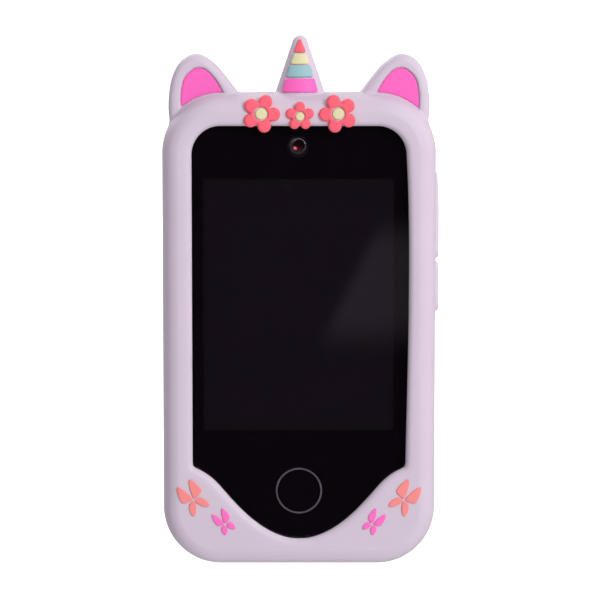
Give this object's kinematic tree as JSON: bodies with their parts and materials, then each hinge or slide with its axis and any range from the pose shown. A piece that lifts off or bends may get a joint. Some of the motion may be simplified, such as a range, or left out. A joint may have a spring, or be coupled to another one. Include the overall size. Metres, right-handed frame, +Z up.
{
  "type": "toy cell phone",
  "caption": "Toy cell phone with a touch display, side keys, rear camera and memory card, standing in a soft unicorn-style sleeve with ears and a horn.",
  "frame": {"origin": "middle of the sleeve's base, on the surface that it stands on", "axes": "+Z up the phone towards the horn, +X to the right seen from the screen side, -Y out of the screen"},
  "size_m": [0.0632, 0.017, 0.1215],
  "materials": {
    "silicone_lavender": "soft matte silicone",
    "silicone_pink": "soft matte silicone",
    "silicone_coral": "soft matte silicone",
    "silicone_yellow": "soft matte silicone",
    "silicone_teal": "soft matte silicone",
    "silicone_salmon": "soft matte silicone",
    "silicone_rose": "soft matte silicone",
    "clear_acrylic": "clear, polished",
    "camera_glass": "clear, dark",
    "black_ink": "smooth black print",
    "display_panel": "dark display, switched off",
    "grey_print": "thin grey print",
    "housing_plastic": "fine satin moulding",
    "black_plastic": "matte",
    "circuit_board": "green solder mask",
    "battery_foil": "wrapped foil",
    "plated_steel": "plated",
    "amber_film": "thin polyimide film",
    "led_yellow": "translucent phosphor"
  },
  "bodies": {
    "phone": {"audio_jack": "black_plastic", "battery": "battery_foil", "butterfly_big_left_lower_inner": "silicone_salmon", "butterfly_big_left_lower_outer": "silicone_salmon", "butterfly_big_left_upper_inner": "silicone_salmon", "butterfly_big_left_upper_outer": "silicone_salmon", "butterfly_big_right_lower_inner": "silicone_salmon", "butterfly_big_right_lower_outer": "silicone_salmon", "butterfly_big_right_upper_inner": "silicone_salmon", "butterfly_big_right_upper_outer": "silicone_salmon", "butterfly_small_left_lower_inner": "silicone_rose", "butterfly_small_left_lower_outer": "silicone_rose", "butterfly_small_left_upper_inner": "silicone_rose", "butterfly_small_left_upper_outer": "silicone_rose", "butterfly_small_right_lower_inner": "silicone_rose", "butterfly_small_right_lower_outer": "silicone_rose", "butterfly_small_right_upper_inner": "silicone_rose", "butterfly_small_right_upper_outer": "silicone_rose", "card_socket": "plated_steel", "case_shell": "silicone_lavender", "cover_lens": "clear_acrylic", "display_flex": "amber_film", "display_module": "display_panel", "ear_inlay_left": "silicone_pink", "ear_inlay_right": "silicone_pink", "flash_led": "led_yellow", "flower_left_centre": "silicone_yellow", "flower_left_petals": "silicone_coral", "flower_middle_centre": "silicone_yellow", "flower_middle_petals": "silicone_coral", "flower_right_centre": "silicone_yellow", "flower_right_petals": "silicone_coral", "front_camera": "black_plastic", "front_camera_lens": "camera_glass", "front_frame": "housing_plastic", "home_ring": "grey_print", "horn_band_coral": "silicone_coral", "horn_band_pink": "silicone_pink", "horn_band_teal": "silicone_teal", "horn_band_yellow": "silicone_yellow", "ink_mask": "black_ink", "main_board": "circuit_board", "microphone": "plated_steel", "power_switch": "black_plastic", "rear_camera": "black_plastic", "rear_camera_window": "camera_glass", "rear_shell": "housing_plastic", "screw_bottom_left": "plated_steel", "screw_bottom_right": "plated_steel", "screw_top_left": "plated_steel", "screw_top_right": "plated_steel", "speaker": "black_plastic", "usb_socket": "plated_steel", "volume_down_switch": "black_plastic", "volume_up_switch": "black_plastic"},
    "volume_rocker": {"volume_key": "housing_plastic", "volume_pad": "silicone_lavender"},
    "power_button": {"power_key": "housing_plastic", "power_pad": "silicone_lavender"},
    "memory_card": {"memory_card": "black_plastic"}
  },
  "joints": [
    {"name": "volume_rock", "type": "hinge", "parent": "phone", "child": "volume_rocker", "pos_m": [0.027, 0.0006, 0.08065], "axis": [0, 1, 0], "range_deg": [-2.8, 2.8], "stiffness_Nm_per_rad": 0.14},
    {"name": "power_press", "type": "slide", "parent": "phone", "child": "power_button", "axis": [-1, 0, 0], "range_m": [0, 0.0004], "stiffness_N_per_m": 2000},
    {"name": "card_slide", "type": "slide", "parent": "phone", "child": "memory_card", "axis": [-1, 0, 0], "range_m": [0, 0.015]}
  ]
}
